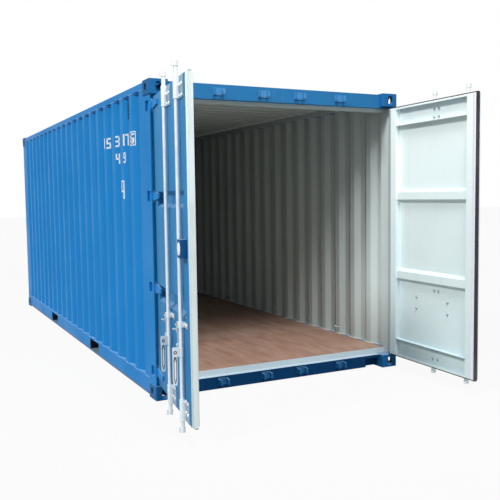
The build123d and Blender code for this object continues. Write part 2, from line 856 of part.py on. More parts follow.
# Rod brackets: long bearings at the leaf's ends and short guides between them
def rod_brackets(name):
    plane = door_plane(name)
    low_bearing = leaf_bottom + bearing_end_margin
    high_bearing = leaf_top - bearing_end_margin - bearing_height
    blocks = [
        (low_bearing, bearing_height), (high_bearing, bearing_height),
        (guide_level - guide_height / 2, guide_height)]
    with BuildPart() as brackets:
        for along in rod_places.values():
            for low, tall in blocks:
                with BuildSketch(plane.offset(low)):
                    leaf_rectangle(
                        name, along - bearing_plate_inner, along + bearing_plate_outer,
                        leaf_outer, leaf_outer + bearing_plate)
                    leaf_rectangle(
                        name, along - bearing_radius, along + bearing_radius, leaf_outer, rod_line)
                    with Locations(door_xy(name, along, rod_line)):
                        Circle(bearing_radius)
                        Circle(rod_radius + rod_clearance, mode=Mode.SUBTRACT)
                extrude(amount=tall)
    save(brackets.part, f"{name}_door_rod_brackets")


# Handle retainers, a plate with a shelf under the stowed handle
def handle_retainers(name):
    plane = door_plane(name)
    with BuildPart() as retainers:
        for along in rod_places.values():
            centre = along - retainer_from_rod
            shelf_low = handle_level - handle_width / 2 - retainer_shelf_gap - retainer_plate
            with BuildSketch(plane.offset(shelf_low)):
                leaf_rectangle(
                    name, centre - retainer_width / 2, centre + retainer_width / 2,
                    leaf_outer, leaf_outer + retainer_plate)
            extrude(amount=retainer_height)
            with BuildSketch(plane.offset(shelf_low)):
                leaf_rectangle(
                    name, centre - retainer_width / 2, centre + retainer_width / 2,
                    leaf_outer, leaf_outer + retainer_shelf_reach)
            extrude(amount=retainer_plate)
    save(retainers.part, f"{name}_door_handle_retainers")


# Locking rod with a cam at each end and the clevis of its handle, shown unlocked
def lock_rod(name, place):
    plane = door_plane(name)
    along = rod_places[place]
    centre = door_xy(name, along, rod_line)
    with BuildPart() as rod:
        rod_low_end = keeper_level_sill - rod_past_cam_low
        rod_high_end = keeper_level_header + rod_past_cam_high
        with BuildSketch(plane.offset(rod_low_end)):
            with Locations(centre):
                Circle(rod_radius)
        extrude(amount=rod_high_end - rod_low_end)
        for low in (keeper_level_sill - cam_height / 2, keeper_level_header - cam_height / 2):
            with BuildSketch(plane.offset(low)):
                with Locations(centre):
                    Circle(cam_collar_radius)
                with Locations((centre[0] + cam_radius / 2, centre[1])):
                    Rectangle(cam_radius, 2 * cam_half_width)
            extrude(amount=cam_height)
        with BuildSketch(plane.offset(handle_level - hub_height / 2)):
            with Locations((centre[0] + hub_reach / 2, centre[1])):
                Rectangle(hub_reach, hub_gap + 2 * hub_cheek)
            with Locations((centre[0] + (hub_reach + cam_collar_radius) / 2, centre[1])):
                Rectangle(hub_reach - cam_collar_radius, hub_gap, mode=Mode.SUBTRACT)
            with Locations(centre):
                Circle(cam_collar_radius)
        extrude(amount=hub_height)
        pin_plane = Plane(
            origin=plane.from_local_coords((centre[0] + handle_pin_from_rod, centre[1], handle_level)),
            x_dir=plane.x_dir, z_dir=plane.y_dir)
        with BuildSketch(pin_plane):
            Circle(handle_pin_radius)
        extrude(amount=hub_gap / 2 + hub_cheek, both=True)
    save(rod.part, f"{name}_{place}_rod")


# Handle, a flat bar that hangs from the clevis pin
def handle(name, place):
    plane = door_plane(name)
    along = rod_places[place]
    centre = door_xy(name, along, rod_line)
    side_plane = Plane(
        origin=plane.from_local_coords((centre[0] + handle_pin_from_rod, centre[1], handle_level)),
        x_dir=plane.x_dir, z_dir=-plane.y_dir)
    half = handle_width / 2
    tip = handle_tip_width / 2
    with BuildPart() as bar:
        with BuildSketch(side_plane):
            Circle(half)
            closed_outline([
                (-half, 0), (half, 0), (half, -handle_length + handle_tip_length),
                (tip, -handle_length), (-tip, -handle_length), (-half, -handle_length + handle_tip_length)])
            Circle(handle_pin_radius + handle_pin_clearance, mode=Mode.SUBTRACT)
        extrude(amount=handle_thickness / 2, both=True)
    save(bar.part, f"{name}_{place}_handle")


for door_name in door_sides:
    leaf_frame(door_name)
    leaf_panel(door_name)
    leaf_seal(door_name)
    hinge_blades(door_name)
    rod_brackets(door_name)
    handle_retainers(door_name)
    for rod_place in rod_places:
        lock_rod(door_name, rod_place)
        handle(door_name, rod_place)

# Lock box, a folded steel cover open at the bottom, beside the inner rod of the left leaf
with BuildPart() as lock_box:
    box_plane = door_plane("left")
    box_high_along = leaf_end - lock_box_from_free_edge
    box_low_along = box_high_along - lock_box_width
    with BuildSketch(box_plane.offset(lock_box_level - lock_box_height / 2)):
        leaf_rectangle("left", box_low_along, box_high_along, leaf_outer, leaf_outer + lock_box_depth)
    extrude(amount=lock_box_height)
    with BuildSketch(box_plane.offset(lock_box_level - lock_box_height / 2)):
        leaf_rectangle(
            "left", box_low_along + lock_box_wall, box_high_along - lock_box_wall,
            leaf_outer, leaf_outer + lock_box_depth - lock_box_wall)
    extrude(amount=lock_box_height - lock_box_wall, mode=Mode.SUBTRACT)
save(lock_box.part, "left_door_lock_box")
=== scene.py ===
# Dressed model of a twenty foot dry freight container with both end doors standing open.
# X runs along the length with the doors at +X, Y across the width, Z up, all in metres.
import json
from math import cos, pi, radians, sin

import bmesh
import bpy
from mathutils import Matrix, Vector


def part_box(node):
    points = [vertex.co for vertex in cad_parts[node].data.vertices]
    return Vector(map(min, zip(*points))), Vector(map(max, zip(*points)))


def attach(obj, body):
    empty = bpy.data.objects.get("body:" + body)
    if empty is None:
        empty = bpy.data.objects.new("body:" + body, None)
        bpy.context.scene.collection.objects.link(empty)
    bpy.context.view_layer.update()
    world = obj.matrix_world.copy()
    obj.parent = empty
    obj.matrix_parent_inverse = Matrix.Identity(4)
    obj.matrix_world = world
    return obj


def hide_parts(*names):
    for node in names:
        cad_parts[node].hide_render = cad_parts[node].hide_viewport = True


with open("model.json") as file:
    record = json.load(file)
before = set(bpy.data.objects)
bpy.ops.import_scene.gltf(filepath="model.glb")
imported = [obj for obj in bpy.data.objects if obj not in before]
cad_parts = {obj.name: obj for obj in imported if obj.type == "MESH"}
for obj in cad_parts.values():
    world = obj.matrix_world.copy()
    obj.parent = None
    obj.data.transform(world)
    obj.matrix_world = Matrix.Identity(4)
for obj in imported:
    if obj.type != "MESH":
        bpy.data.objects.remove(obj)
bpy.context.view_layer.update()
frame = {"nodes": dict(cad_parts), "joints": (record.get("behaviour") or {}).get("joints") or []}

MM = 0.001

# Colours, as sRGB
TOPCOAT_BLUE = "#2483c8"
CASTING_BLUE = "#1f6197"
HEADER_BLUE = "#296a9b"
LEAF_BLUE = "#3a8cc5"
KEEPER_BLUE = "#4180b2"
SILL_KEEPER_BLUE = "#245f90"
LOCK_BLUE = "#134f82"
VENT_BLUE = "#174d78"
SILL_BLUE = "#0b3862"
# The inside coat is darker than the leaves' pale coat: painted shade of the dim interior.
INSIDE_PALE = "#bfcac8"
THRESHOLD_PALE = "#c0ced5"
SEALANT_PALE = "#dfe6e4"
LEAF_PALE = "#e4f0f0"
STRIP_PALE = "#d9d4e3"
GASKET_DARK = "#221a28"
GASKET_PALE = "#d3e0e2"
UNDERFRAME_BLACK = "#202226"
ZINC_PALE = "#e6f0f5"
ZINC_DARK = "#8fa0aa"
ZINC_PLATE = "#8ea6b8"
PLYWOOD_LIGHT = "#b3907e"
PLYWOOD_DARK = "#9a7868"
PLYWOOD_PORE = "#5e4032"
PLYWOOD_WORN = "#b8a799"
RUST_BROWN = "#5b3420"
DUST_GREY = "#8d8a80"
DUST_AND_TOP_LIGHT_BLUE = "#a9c3d6"
MUD_BROWN = "#6f6358"
MARKING_WHITE = "#e8eef2"
DRIFT_SHADE = "#c4cbd4"
# Painted shade laid over the lower half of the leaves
LOW_SHADE_GREY = "#ced7da"
BOLT_PALE = "#f4f8fa"
BOLT_DARK = "#b9c4ca"
SCREW_PALE = "#a39a92"
SCREW_DARK = "#6a5a50"
WELD_HIGHLIGHT_BLUE = "#7db2e2"
HINGE_STRIP_GREY = "#a9b3b4"
OILED_BLACK_AND_SHADE = "#2b3036"
NUT_SHADED_GREY = "#a9b6b8"
DISC_WHITE = "#eef2f4"
STUDIO_GREY = "#a4a4a2"
STUDIO_WHITE = "#ffffff"

# Side walls, pressed in folds
SIDE_FACE = 1211 * MM
SIDE_PITCH = 278 * MM
SIDE_OUTER_FLAT = 72 * MM
SIDE_SLOPE = 68 * MM
SIDE_DEPTH = 34 * MM
WALL_SHEET = 2 * MM
WALL_HALF = 2851 * MM
WALL_LOW = 158 * MM
WALL_HIGH = 2525 * MM
FOLD_COUNT = int(2 * WALL_HALF / SIDE_PITCH)
FOLD_FLOOR_HALF = (SIDE_PITCH - SIDE_OUTER_FLAT - 2 * SIDE_SLOPE) / 2

# Floor, and the door end of the body
FLOOR_TOP = 167 * MM
BOARD_JOINTS = (-0.60, 1.80)
BOARD_GAP = 2.5 * MM
HEADER_STEP = 2461 * MM
THRESHOLD_LOW = 119 * MM
SILL_RECESS_BACK = 67 * MM
SILL_RECESS_TOP = THRESHOLD_LOW - 8 * MM
SEAL_FACE_END = 1165 * MM

# Door leaves, measured from the hinge pin
LEAF_OUTER = -16 * MM
LEAF_INNER = -66 * MM
LEAF_START = 40 * MM
LEAF_END = 1186 * MM
LEAF_BOTTOM = 136 * MM
LEAF_TOP = 2447 * MM
MEMBER_WALL = 3.2 * MM
PANEL_SHEET = 2 * MM
GROOVE_LEVELS = (905.6 * MM, 1638.2 * MM)
GROOVE_FLOOR_HALF = 33 * MM
GROOVE_MOUTH_HALF = 59 * MM
GROOVE_DEPTH = 36 * MM
PANEL_HALF = 500 * MM

# Lock gear of the leaves
ROD_PLACES = {"outer": 598 * MM, "inner": 1018 * MM}
PLATE_FACE = LEAF_OUTER + 6 * MM
RETAINER_BACK = 200 * MM
HANDLE_LEVEL = 612 * MM
HANDLE_OUT = 54 * MM
HANDLE_FLAT = 6 * MM
CLEVIS_CHEEK = 13.5 * MM
CATCH_OUTLINE = ((-17, 742), (17, 742), (19, 764), (12, 780), (0, 786), (-12, 780), (-19, 764))

# Cosines from which a face counts as turned one way
FACING_LEAST = 0.3
OUTWARD_LEAST = 0.1

# Bars that each plain digit is made of
DIGIT_BARS = {
    "1": ("upper_right", "lower_right"),
    "3": ("top", "middle", "bottom", "upper_right", "lower_right"),
    "4": ("upper_left", "middle", "upper_right", "lower_right"),
    "5": ("top", "upper_left", "middle", "lower_right", "bottom"),
    "6": ("top", "upper_left", "lower_left", "middle", "lower_right", "bottom"),
    "7": ("top", "upper_right", "lower_right"),
    "9": ("top", "upper_left", "middle", "upper_right", "lower_right", "bottom")}


def linear(colour):
    channels = [int(colour[start:start + 2], 16) / 255 for start in (1, 3, 5)]
    light = [c / 12.92 if c <= 0.04045 else ((c + 0.055) / 1.055) ** 2.4 for c in channels]
    return (*light, 1.0)


def per_metre(size_mm):
    # Scale of a pattern whose features are this wide.
    return 1 / (size_mm * MM)


def add(tree, kind, inputs=None, **settings):
    node = tree.nodes.new(kind)
    for name, value in settings.items():
        setattr(node, name, value)
    for name, value in (inputs or {}).items():
        socket = node.inputs[name]
        if isinstance(value, bpy.types.NodeSocket):
            tree.links.new(value, socket)
        else:
            socket.default_value = value
    return node


def start_material(name):
    material = bpy.data.materials.new(name)
    material.use_nodes = True
    material.node_tree.nodes.clear()
    return material, material.node_tree


def patches(tree, spot, size_mm, low, high, stretch=(1, 1, 1), detail=4.0):
    # A soft mask of patches of this size, 0 below low and 1 above high.
    placed = add(tree, "ShaderNodeMapping", {"Vector": spot, "Scale": stretch})
    noise = add(tree, "ShaderNodeTexNoise", {
        "Vector": placed.outputs["Vector"], "Scale": per_metre(size_mm),
        "Detail": detail, "Roughness": 0.55})
    mask = add(tree, "ShaderNodeMapRange", {
        "Value": noise.outputs["Fac"], "From Min": low, "From Max": high},
        interpolation_type="SMOOTHSTEP")
    return mask.outputs["Result"]


def finish_material(tree, base, layers, normal, roughness, **sockets):
    # Each layer is a mask, its strength, a shade and how the shade is laid over the colour.
    colour = linear(base)
    for mask, strength, shade, blend in layers:
        if strength < 1:
            mask = add(tree, "ShaderNodeMath", {0: mask, 1: strength},
                       operation="MULTIPLY").outputs[0]
        colour = add(tree, "ShaderNodeMix", {0: mask, 6: colour, 7: linear(shade)},
                     data_type="RGBA", blend_type=blend).outputs[2]
    inputs = {"Base Color": colour, "Roughness": roughness, "Normal": normal}
    inputs.update({name.replace("_", " "): value for name, value in sockets.items()})
    shader = add(tree, "ShaderNodeBsdfPrincipled", inputs)
    add(tree, "ShaderNodeOutputMaterial", {"Surface": shader.outputs["BSDF"]})


def facing(direction):
    # Faces that point this way.
    def mask(tree, place):
        turned = add(tree, "ShaderNodeVectorMath", {0: place.outputs["Normal"], 1: direction},
                     operation="DOT_PRODUCT")
        return add(tree, "ShaderNodeMath", {0: turned.outputs["Value"], 1: FACING_LEAST},
                   operation="GREATER_THAN").outputs[0]
    return mask


def facing_middle(tree, place):
    # Faces of either side that point towards the middle of the container.
    spot = add(tree, "ShaderNodeSeparateXYZ", {0: place.outputs["Object"]})
    normal = add(tree, "ShaderNodeSeparateXYZ", {0: place.outputs["Normal"]})
    hand = add(tree, "ShaderNodeMath", {0: spot.outputs["Y"]}, operation="SIGN")
    outward = add(tree, "ShaderNodeMath", {0: normal.outputs["Y"], 1: hand.outputs[0]},
                  operation="MULTIPLY")
    return add(tree, "ShaderNodeMath", {0: outward.outputs[0], 1: -FACING_LEAST},
               operation="LESS_THAN").outputs[0]


def within_width(tree, place, half_width):
    # The part of a piece that lies this near to the middle line.
    spot = add(tree, "ShaderNodeSeparateXYZ", {0: place.outputs["Object"]})
    width = add(tree, "ShaderNodeMath", {0: spot.outputs["Y"]}, operation="ABSOLUTE")
    return add(tree, "ShaderNodeMath", {0: width.outputs[0], 1: half_width},
               operation="LESS_THAN").outputs[0]


def inside_rail(tree, place):
    # The rail's inner face, and its ledges on the inner side of the wall sheet.
    within = within_width(tree, place, SIDE_FACE - SIDE_DEPTH - WALL_SHEET)
    return add(tree, "ShaderNodeMath", {0: within, 1: facing_middle(tree, place)},
               operation="MAXIMUM").outputs[0]


def inside_post(tree, place):
    # The post's inner side and the inner part of its seal face.
    seal_face = add(tree, "ShaderNodeMath", {
        0: within_width(tree, place, SEAL_FACE_END), 1: facing((1, 0, 0))(tree, place)},
        operation="MULTIPLY")
    return add(tree, "ShaderNodeMath", {0: seal_face.outputs[0], 1: facing_middle(tree, place)},
               operation="MAXIMUM").outputs[0]


def past_level(level, comparison):
    # Faces above or below this height, and the beam's back.
    def mask(tree, place):
        spot = add(tree, "ShaderNodeSeparateXYZ", {0: place.outputs["Object"]})
        past = add(tree, "ShaderNodeMath", {0: spot.outputs["Z"], 1: level}, operation=comparison)
        return add(tree, "ShaderNodeMath", {
            0: past.outputs[0], 1: facing((-1, 0, 0))(tree, place)}, operation="MAXIMUM").outputs[0]
    return mask


def open_recess(tree, place):
    # The hollows of the sill beside the castings, behind its face and below the threshold, where
    # painted shade goes.
    spot = add(tree, "ShaderNodeSeparateXYZ", {0: place.outputs["Object"]})
    behind = add(tree, "ShaderNodeMath", {
        0: spot.outputs["X"], 1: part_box("door_sill")[1].x - SILL_RECESS_BACK},
        operation="LESS_THAN")
    low = add(tree, "ShaderNodeMath", {0: spot.outputs["Z"], 1: SILL_RECESS_TOP},
              operation="LESS_THAN")
    return add(tree, "ShaderNodeMath", {0: behind.outputs[0], 1: low.outputs[0]},
               operation="MULTIPLY").outputs[0]


def behind_outer_face(door):
    # All of a leaf but the faces that look outwards and the stiles' sides in the grooves.
    face = door["pin"].dot(door["out"]) + LEAF_OUTER
    middle = door["pin"].dot(door["along"]) + (LEAF_START + LEAF_END) / 2

    def mask(tree, place):
        turned = add(tree, "ShaderNodeVectorMath", {
            0: place.outputs["Normal"], 1: door["out"]}, operation="DOT_PRODUCT")
        depth = add(tree, "ShaderNodeVectorMath", {
            0: place.outputs["Object"], 1: door["out"]}, operation="DOT_PRODUCT")
        along = add(tree, "ShaderNodeVectorMath", {
            0: place.outputs["Object"], 1: door["along"]}, operation="DOT_PRODUCT")
        spot = add(tree, "ShaderNodeSeparateXYZ", {0: place.outputs["Object"]})
        covered = add(tree, "ShaderNodeMath", {
            0: turned.outputs["Value"], 1: OUTWARD_LEAST}, operation="LESS_THAN").outputs[0]
        beside = add(tree, "ShaderNodeMath", {
            0: along.outputs["Value"], 1: middle, 2: PANEL_HALF}, operation="COMPARE").outputs[0]
        for measure, limit in ((turned, -OUTWARD_LEAST), (depth, face - GROOVE_DEPTH - 0.5 * MM)):
            past = add(tree, "ShaderNodeMath", {0: measure.outputs["Value"], 1: limit},
                       operation="GREATER_THAN")
            beside = add(tree, "ShaderNodeMath", {0: beside, 1: past.outputs[0]},
                         operation="MULTIPLY").outputs[0]
        # A groove's mouth is wider than its floor.
        half = add(tree, "ShaderNodeMapRange", {
            "Value": depth.outputs["Value"], "From Min": face - GROOVE_DEPTH, "From Max": face,
            "To Min": GROOVE_FLOOR_HALF, "To Max": GROOVE_MOUTH_HALF})
        for level in GROOVE_LEVELS:
            near = add(tree, "ShaderNodeMath", {
                0: spot.outputs["Z"], 1: level, 2: half.outputs["Result"]}, operation="COMPARE")
            grooved = add(tree, "ShaderNodeMath", {0: near.outputs[0], 1: beside},
                          operation="MULTIPLY")
            covered = add(tree, "ShaderNodeMath", {0: covered, 1: grooved.outputs[0]},
                          operation="SUBTRACT", use_clamp=True).outputs[0]
        return covered
    return mask


def sprayed_topcoat(name, outside, inside=None, pale_where=None, grime=0.10, rust=0.0,
                    roughness=0.42, mud=0.0, painted_shade_where=None, low_shade=0.0):
    # Alkyd enamel sprayed over blasted steel: satin, a little wavy, with rain streaks and dust.
    material, tree = start_material(name)
    place = add(tree, "ShaderNodeTexCoord")
    spot = place.outputs["Object"]
    layers = []
    if inside:
        layers.append((pale_where(tree, place), 1, inside, "MIX"))
    # Painted shade: the hollows are coloured near black.
    if painted_shade_where:
        layers.append((painted_shade_where(tree, place), 1, UNDERFRAME_BLACK, "MIX"))
    # Tone drifts where the spray passes overlap.
    drift = patches(tree, spot, 900, 0.3, 0.7)
    layers.append((drift, 0.14, DRIFT_SHADE, "MULTIPLY"))
    if low_shade:
        # Painted shade: the lower half is darkened towards the bottom.
        height = add(tree, "ShaderNodeSeparateXYZ", {0: spot}).outputs["Z"]
        low = add(tree, "ShaderNodeMapRange", {
            "Value": height, "From Min": 0.3, "From Max": 2.2, "To Min": low_shade, "To Max": 0.0})
        layers.append((low.outputs["Result"], 1, LOW_SHADE_GREY, "MULTIPLY"))
    # Rain streaks are long and upright.
    streaks = patches(tree, spot, 55, 0.55, 0.85, stretch=(1, 1, 0.05))
    layers.append((streaks, grime, DUST_GREY, "MIX"))
    # Faces that look up turn a paler blue: partly dust on the ledges, partly a painted highlight of
    # the light from above.
    upward = add(tree, "ShaderNodeSeparateXYZ", {0: place.outputs["Normal"]}).outputs["Z"]
    ledge = add(tree, "ShaderNodeMapRange", {"Value": upward, "From Min": 0.5, "To Max": 0.45})
    layers.append((ledge.outputs["Result"], 1, DUST_AND_TOP_LIGHT_BLUE, "MIX"))
    if mud:
        # Splashed mud thins out with the height above the ground.
        ragged = patches(tree, spot, 45, 0.2, 0.8)
        reach = add(tree, "ShaderNodeMath", {0: ragged, 1: 60 * MM, 2: 25 * MM},
                    operation="MULTIPLY_ADD").outputs[0]
        height = add(tree, "ShaderNodeSeparateXYZ", {0: spot}).outputs["Z"]
        splash = add(tree, "ShaderNodeMapRange", {
            "Value": height, "From Min": 0.0, "From Max": reach, "To Min": mud, "To Max": 0.0},
            interpolation_type="SMOOTHSTEP")
        layers.append((splash.outputs["Result"], 1, MUD_BROWN, "MIX"))
    if rust:
        specks = patches(tree, spot, 14, 0.66, 0.72, detail=5)
        clusters = patches(tree, spot, 220, 0.50, 0.62)
        spread = add(tree, "ShaderNodeMath", {0: specks, 1: clusters}, operation="MULTIPLY")
        layers.append((spread.outputs[0], rust, RUST_BROWN, "MIX"))
    # The orange peel of spray is finer than the render shows, so it is drawn at 9 mm.
    peel = add(tree, "ShaderNodeTexNoise", {"Vector": spot, "Scale": per_metre(9), "Detail": 2.0})
    buckle = add(tree, "ShaderNodeTexNoise", {"Vector": spot, "Scale": per_metre(420)})
    waved = add(tree, "ShaderNodeBump", {
        "Strength": 0.25, "Distance": 6 * MM, "Height": buckle.outputs["Fac"]})
    bump = add(tree, "ShaderNodeBump", {
        "Strength": 0.15, "Distance": 0.4 * MM, "Height": peel.outputs["Fac"],
        "Normal": waved.outputs["Normal"]})
    worn = add(tree, "ShaderNodeMapRange", {
        "Value": drift, "To Min": roughness - 0.06, "To Max": roughness + 0.10})
    finish_material(tree, outside, layers, bump.outputs["Normal"], worn.outputs["Result"],
                    Specular_IOR_Level=0.03)
    return material


def galvanised(name, pale, dark, roughness=0.42, plate_of=None):
    # Hot-dip zinc on steel bar: bright, dull-edged grey with soft spangle and run marks.
    material, tree = start_material(name)
    spot = add(tree, "ShaderNodeTexCoord").outputs["Object"]
    spangle = add(tree, "ShaderNodeTexVoronoi", {"Vector": spot, "Scale": per_metre(16)})
    cells = add(tree, "ShaderNodeMapRange", {
        "Value": spangle.outputs["Distance"], "From Max": 0.8})
    stained = patches(tree, spot, 120, 0.50, 0.78)
    layers = [(cells.outputs["Result"], 0.14, dark, "MIX"), (stained, 0.3, dark, "MIX")]
    if plate_of:
        # The base plates are oversprayed with the leaf, the sleeves are wiped clean.
        depth = add(tree, "ShaderNodeVectorMath", {0: spot, 1: plate_of["out"]},
                    operation="DOT_PRODUCT")
        plates = add(tree, "ShaderNodeMath", {
            0: depth.outputs["Value"],
            1: plate_of["pin"].dot(plate_of["out"]) + PLATE_FACE + 2 * MM}, operation="LESS_THAN")
        layers.append((plates.outputs[0], 1, ZINC_PLATE, "MIX"))
    bump = add(tree, "ShaderNodeBump", {
        "Strength": 0.2, "Distance": 0.5 * MM, "Height": spangle.outputs["Distance"]})
    finish_material(tree, pale, layers, bump.outputs["Normal"], roughness, Metallic=0.35)
    return material


def gasket_rubber(name, colour):
    # Extruded EPDM gasket: matt, with a faint drawn grain and dust in it.
    material, tree = start_material(name)
    spot = add(tree, "ShaderNodeTexCoord").outputs["Object"]
    dusty = patches(tree, spot, 60, 0.45, 0.75, stretch=(1, 1, 0.2))
    grain = add(tree, "ShaderNodeTexNoise", {"Vector": spot, "Scale": per_metre(6), "Detail": 3.0})
    bump = add(tree, "ShaderNodeBump", {
        "Strength": 0.3, "Distance": 0.5 * MM, "Height": grain.outputs["Fac"]})
    finish_material(tree, colour, [(dusty, 0.18, DUST_GREY, "MIX")], bump.outputs["Normal"], 0.72)
    return material


def plain_coat(name, colour, roughness, wear=0.15):
    # Thin factory coat with slight handling marks.
    material, tree = start_material(name)
    spot = add(tree, "ShaderNodeTexCoord").outputs["Object"]
    marks = patches(tree, spot, 40, 0.50, 0.80)
    grain = add(tree, "ShaderNodeTexNoise", {"Vector": spot, "Scale": per_metre(5), "Detail": 2.0})
    bump = add(tree, "ShaderNodeBump", {
        "Strength": 0.2, "Distance": 0.3 * MM, "Height": grain.outputs["Fac"]})
    finish_material(tree, colour, [(marks, wear, DUST_GREY, "MIX")], bump.outputs["Normal"],
                    roughness)
    return material


def floor_plywood():
    # Keruing plywood, rotary peeled and oiled: red-brown, long grain along X, scuffed by use.
    material, tree = start_material("oiled_keruing_plywood")
    spot = add(tree, "ShaderNodeTexCoord").outputs["Object"]
    board = add(tree, "ShaderNodeAttribute", attribute_name="board").outputs["Fac"]
    # Each board takes its figure from another place in the pattern.
    across = add(tree, "ShaderNodeMath", {0: board, 1: 7.0}, operation="MULTIPLY")
    apart = add(tree, "ShaderNodeCombineXYZ", {"X": board, "Y": across.outputs[0]})
    shifted = add(tree, "ShaderNodeVectorMath", {0: spot, 1: apart.outputs["Vector"]},
                  operation="ADD").outputs["Vector"]
    figure = patches(tree, shifted, 90, 0.30, 0.70, stretch=(0.22, 1, 1), detail=6)
    pores = patches(tree, shifted, 9, 0.50, 0.72, stretch=(0.04, 1, 1), detail=3)
    worn = patches(tree, spot, 480, 0.42, 0.72)
    toned = add(tree, "ShaderNodeMapRange", {"Value": board, "To Min": 0.0, "To Max": 0.25})
    layers = [(figure, 1, PLYWOOD_DARK, "MIX"), (pores, 0.20, PLYWOOD_PORE, "MIX"),
              (toned.outputs["Result"], 1, PLYWOOD_DARK, "MULTIPLY"),
              (worn, 0.30, PLYWOOD_WORN, "MIX")]
    bump = add(tree, "ShaderNodeBump", {"Strength": 0.3, "Distance": 0.6 * MM, "Height": pores})
    finish_material(tree, PLYWOOD_LIGHT, layers, bump.outputs["Normal"], 0.62)
    return material


def bright_rays(tree):
    # 1 for rays from the camera and rays off glossy or clear surfaces.
    rays = add(tree, "ShaderNodeLightPath")
    bright = rays.outputs["Is Camera Ray"]
    for kind in ("Is Glossy Ray", "Is Transmission Ray"):
        bright = add(tree, "ShaderNodeMath", {0: bright, 1: rays.outputs[kind]},
                     operation="MAXIMUM").outputs[0]
    return bright


def stage_floor():
    # Pale studio floor that the camera sees as nearly white, and that keeps a soft shadow.
    material, tree = start_material("studio_floor")
    share = add(tree, "ShaderNodeMath", {0: bright_rays(tree), 1: 0.93}, operation="MULTIPLY")
    matt = add(tree, "ShaderNodeBsdfDiffuse", {"Color": linear(STUDIO_GREY)})
    white = add(tree, "ShaderNodeEmission", {"Color": linear(STUDIO_WHITE), "Strength": 1.0})
    mixed = add(tree, "ShaderNodeMixShader", {
        "Fac": share.outputs[0], 1: matt.outputs[0], 2: white.outputs[0]})
    add(tree, "ShaderNodeOutputMaterial", {"Surface": mixed.outputs[0]})
    return material


def light_world():
    # The camera and reflections see white; the ambient light on the object is lower.
    world = bpy.data.worlds.new("studio_light")
    world.use_nodes = True
    tree = world.node_tree
    tree.nodes.clear()
    ambient = add(tree, "ShaderNodeBackground", {"Color": linear(STUDIO_WHITE), "Strength": 0.42})
    white = add(tree, "ShaderNodeBackground", {"Color": linear(STUDIO_WHITE), "Strength": 1.0})
    mixed = add(tree, "ShaderNodeMixShader", {
        "Fac": bright_rays(tree), 1: ambient.outputs[0], 2: white.outputs[0]})
    add(tree, "ShaderNodeOutputWorld", {"Surface": mixed.outputs[0]})
    bpy.context.scene.world = world


def add_light(name, kind, place, target, energy, **settings):
    data = bpy.data.lights.new(name, kind)
    data.energy = energy
    for setting, value in settings.items():
        setattr(data, setting, value)
    light = bpy.data.objects.new(name, data)
    light.location = place
    aim = Vector(target) - Vector(place)
    light.rotation_euler = aim.to_track_quat("-Z", "Y").to_euler()
    bpy.context.scene.collection.objects.link(light)


def photo_camera():
    # The camera of the photo, found from the corners of the container.
    azimuth, down, roll = radians(26.74), radians(4.33), radians(0.78)
    ahead = Vector((-cos(azimuth) * cos(down), sin(azimuth) * cos(down), -sin(down)))
    right = Vector((sin(azimuth), cos(azimuth), 0))
    below = ahead.cross(right)
    across = right * cos(roll) + below * sin(roll)
    up = right * sin(roll) - below * cos(roll)
    eye = (8.403, -3.057, 1.650)
    data = bpy.data.cameras.new("photo_camera")
    data.sensor_width = 36
    data.lens = 50.8
    camera = bpy.data.objects.new("photo_camera", data)
    turned = Matrix((across, up, -ahead)).transposed().to_4x4()
    camera.matrix_world = Matrix.Translation(eye) @ turned
    bpy.context.scene.collection.objects.link(camera)
    bpy.context.scene.camera = camera


def door_frame_of(side):
    # The open leaf's own directions: along it from the pin, and out of its outer face.
    joint = next(j for j in frame["joints"] if j["name"] == f"{side}_door_hinge")
    turn = radians(-joint["range_deg"][0]) * joint["axis"][2]
    out = Vector((cos(turn), sin(turn), 0))
    along = Vector((-sin(turn), cos(turn), 0)) * -joint["axis"][2]
    pin = Vector((joint["pos_m"][0], joint["pos_m"][1], 0))
    return {"pin": pin, "out": out, "along": along}


def on_leaf(door, along, out, level):
    # The place in the frame of a spot measured on the leaf.
    return door["pin"] + door["along"] * along + door["out"] * out + Vector((0, 0, level))


def give(material, *nodes):
    for name in nodes:
        slots = frame["nodes"][name].data.materials
        slots.clear()
        slots.append(material)


def finish_piece(name, mesh, body, material):
    piece = bpy.data.objects.new(name, mesh)
    mesh.materials.clear()
    mesh.materials.append(material)
    bpy.context.scene.collection.objects.link(piece)
    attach(piece, body)
    return piece


def mesh_of(shape, name, smooth=False):
    # Closed shapes keep their faces pointing outwards.
    bmesh.ops.recalc_face_normals(shape, faces=shape.faces)
    mesh = bpy.data.meshes.new(name)
    shape.to_mesh(mesh)
    shape.free()
    for polygon in mesh.polygons:
        polygon.use_smooth = smooth
    return mesh


def box_on_leaf(shape, door, low, high):
    # A closed box between two corners measured on the leaf.
    corners = [on_leaf(door, x, y, z) for x in (low[0], high[0]) for y in (low[1], high[1])
               for z in (low[2], high[2])]
    vertices = [shape.verts.new(corner) for corner in corners]
    for face in ((0, 1, 3, 2), (4, 6, 7, 5), (0, 4, 5, 1),
                 (2, 3, 7, 6), (0, 2, 6, 4), (1, 5, 7, 3)):
        shape.faces.new([vertices[index] for index in face])


def prism_between(shape, first, second):
    # Closes two rings of corners into a solid.
    rings = [[shape.verts.new(corner) for corner in ring] for ring in (first, second)]
    shape.faces.new(rings[0][::-1])
    shape.faces.new(rings[1])
    for index in range(len(first)):
        following = (index + 1) % len(first)
        shape.faces.new((rings[0][index], rings[0][following],
                         rings[1][following], rings[1][index]))


def points_mesh(name, spots):
    # Loose points with the direction that each fastener stands in.
    mesh = bpy.data.meshes.new(name)
    mesh.from_pydata([tuple(spot) for spot, _ in spots], [], [])
    facing_data = mesh.attributes.new("facing", "FLOAT_VECTOR", "POINT")
    for index, (_, direction) in enumerate(spots):
        facing_data.data[index].vector = direction
    return mesh


